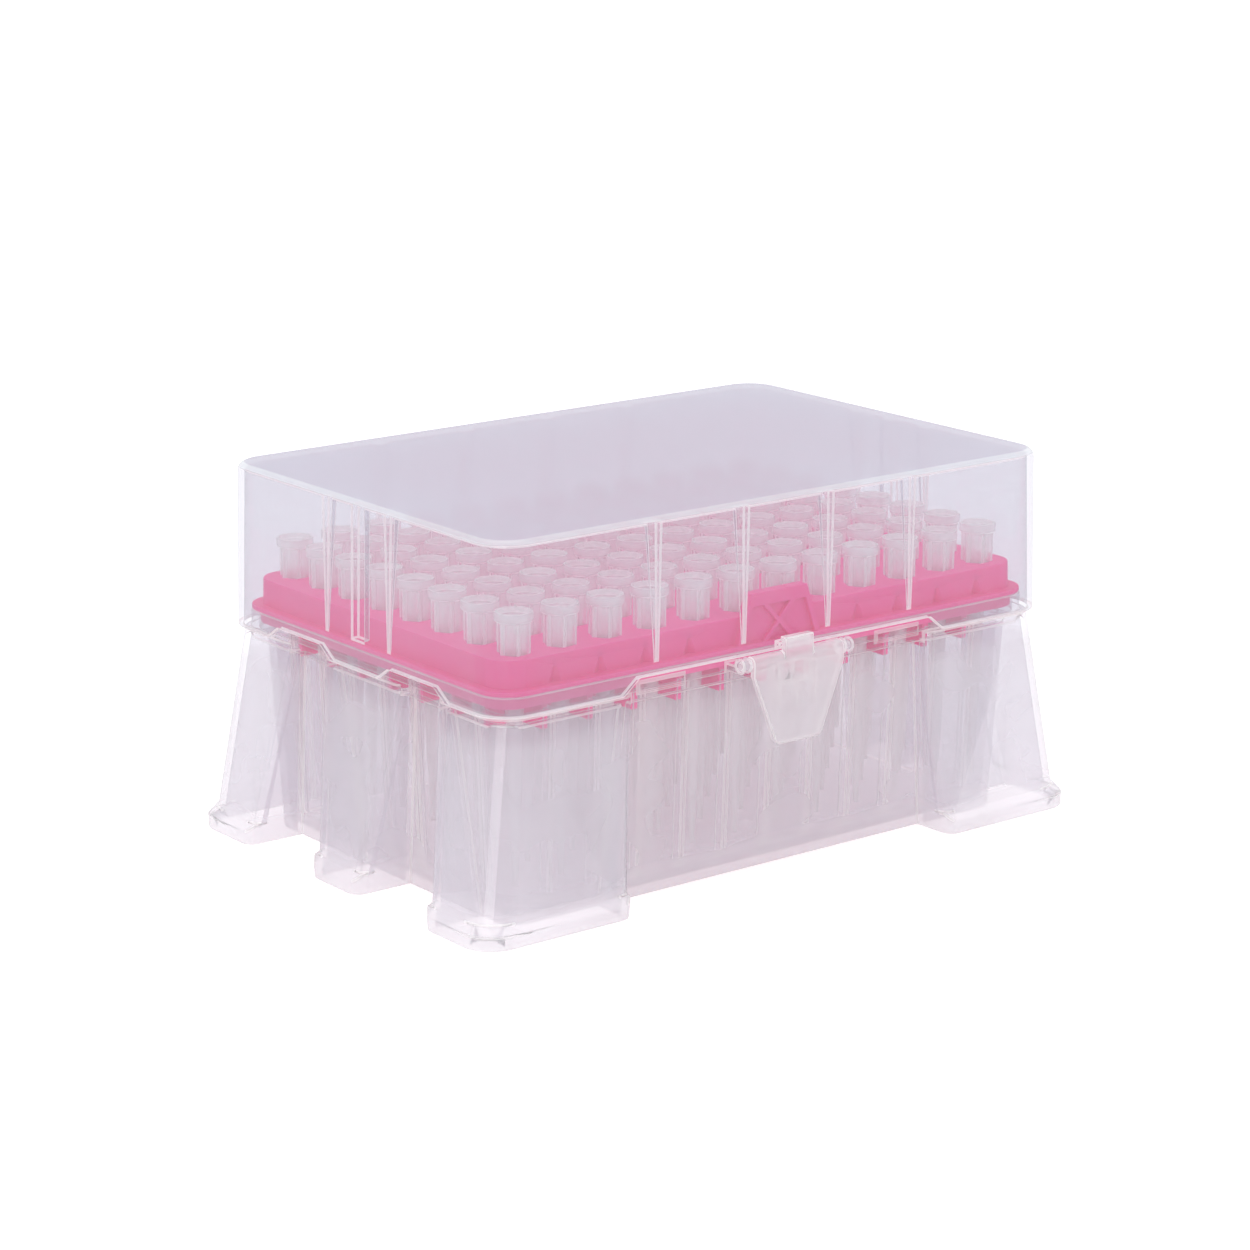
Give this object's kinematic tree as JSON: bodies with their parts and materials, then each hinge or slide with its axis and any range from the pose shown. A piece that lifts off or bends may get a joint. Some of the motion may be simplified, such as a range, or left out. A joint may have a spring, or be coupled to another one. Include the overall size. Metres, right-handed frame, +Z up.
{
  "type": "pipette_tip_box",
  "caption": "Hinged-lid box of pipette tips: clear frosted lid, pink tip plate, translucent base with hollow flared feet, and a front latch.",
  "frame": {"origin": "centre of the footprint on the floor", "axes": "X along the long side, -Y at the latch, Z up"},
  "size_m": [0.1278, 0.0854, 0.0642],
  "materials": {
    "frosted_base": "satin",
    "pink_plate": "satin",
    "clear_lid": "satin",
    "clear_latch": "satin",
    "tip_plastic": "satin"
  },
  "bodies": {
    "base": {"base": "frosted_base", "tip_plate": "pink_plate", "tip_column_01": "tip_plastic", "tip_column_02": "tip_plastic", "tip_column_03": "tip_plastic", "tip_column_04": "tip_plastic", "tip_column_05": "tip_plastic", "tip_column_06": "tip_plastic", "tip_column_07": "tip_plastic", "tip_column_08": "tip_plastic", "tip_column_09": "tip_plastic", "tip_column_10": "tip_plastic", "tip_column_11": "tip_plastic", "tip_column_12": "tip_plastic"},
    "lid": {"lid": "clear_lid"},
    "latch": {"latch": "clear_latch"}
  },
  "joints": [
    {"name": "lid_hinge", "type": "hinge", "parent": "base", "child": "lid", "pos_m": [0, 0.0413, 0.0376], "axis": [-1, 0, 0], "range_deg": [0, 180]},
    {"name": "latch_pivot", "type": "hinge", "parent": "base", "child": "latch", "pos_m": [0, -0.0413, 0.0376], "axis": [1, 0, 0], "range_deg": [0, 20]}
  ]
}
